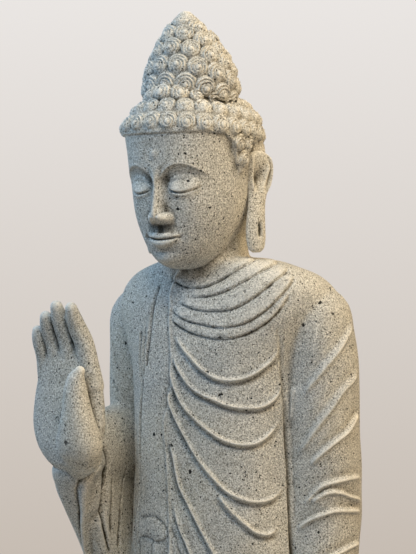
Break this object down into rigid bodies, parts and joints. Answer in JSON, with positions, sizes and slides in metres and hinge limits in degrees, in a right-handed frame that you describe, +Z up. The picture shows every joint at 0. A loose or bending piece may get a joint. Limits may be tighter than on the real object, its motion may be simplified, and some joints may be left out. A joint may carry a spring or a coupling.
{
  "type": "standing stone buddha statue",
  "caption": "Standing robed buddha figure carved from grey speckled stone, right palm raised, snail-curl hair with a pointed knot, on a low round base.",
  "frame": {"origin": "centre of the round base's underside, where it meets the floor", "axes": "+Z up through the figure, -Y the way it faces, +X towards its left arm"},
  "size_m": [0.47, 0.47, 1.6689],
  "materials": {
    "volcanic_stone": null
  },
  "bodies": {
    "root": {"standing_buddha": "volcanic_stone"}
  },
  "joints": []
}
